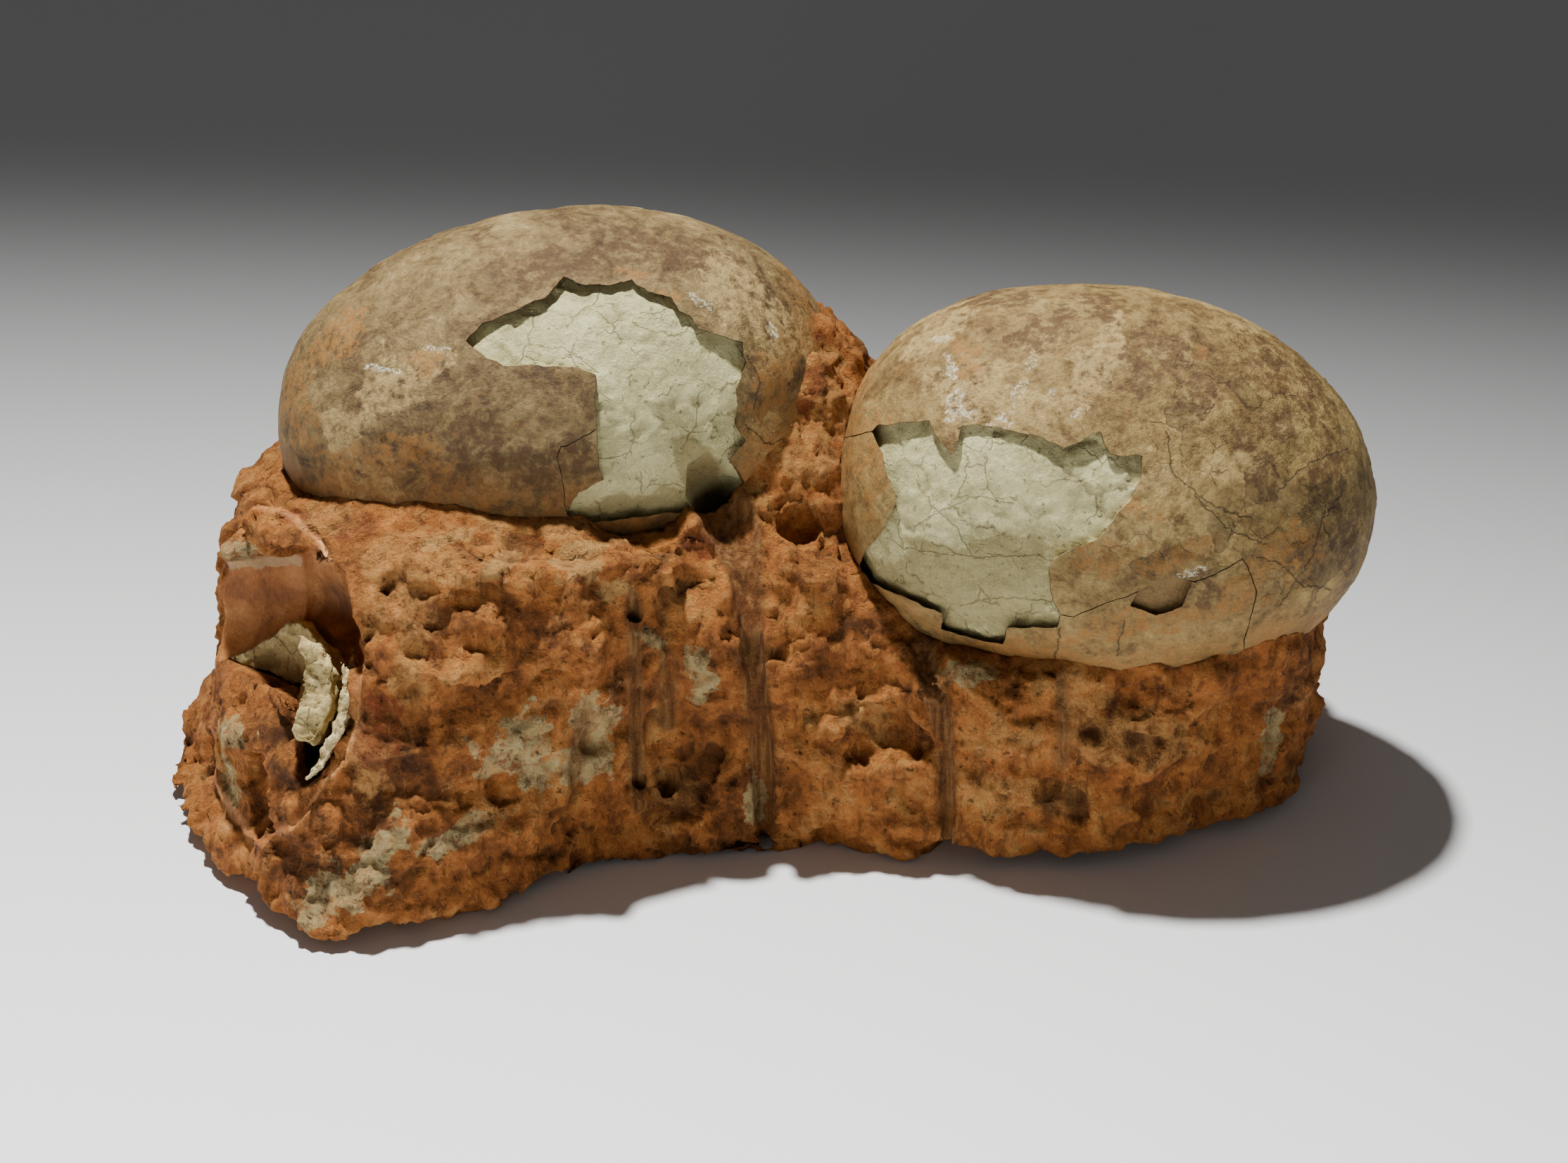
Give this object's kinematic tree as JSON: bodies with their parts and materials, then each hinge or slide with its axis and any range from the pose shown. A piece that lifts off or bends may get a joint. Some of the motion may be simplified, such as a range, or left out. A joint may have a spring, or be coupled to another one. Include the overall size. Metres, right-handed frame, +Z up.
{
  "type": "fossil dinosaur egg block",
  "caption": "Rough sandstone block holding two broken-shelled fossil eggs side by side and the broken end of a third egg, standing on its small flat underside.",
  "frame": {"origin": "on the flat spot of the underside, under the middle of the block", "axes": "+Z up out of the flat spot; +X from the left wing, which holds the third egg's end, to the right wing; -Y towards the side that the two eggs' windows face"},
  "size_m": [0.3269, 0.1805, 0.1528],
  "materials": {
    "rock": "rough, matt, red-orange sandstone",
    "eggshell": "smooth mineralised shell, faint sheen",
    "fill": "matt grey-green sandstone"
  },
  "bodies": {
    "root": {"sandstone_block": "rock", "left_eggshell": "eggshell", "left_corner_plate": "eggshell", "left_fill": "fill", "right_eggshell": "eggshell", "right_side_flap": "eggshell", "right_lower_band": "eggshell", "right_fill": "fill", "third_shell_strip": "eggshell", "third_fill_remnant": "fill"}
  },
  "joints": []
}
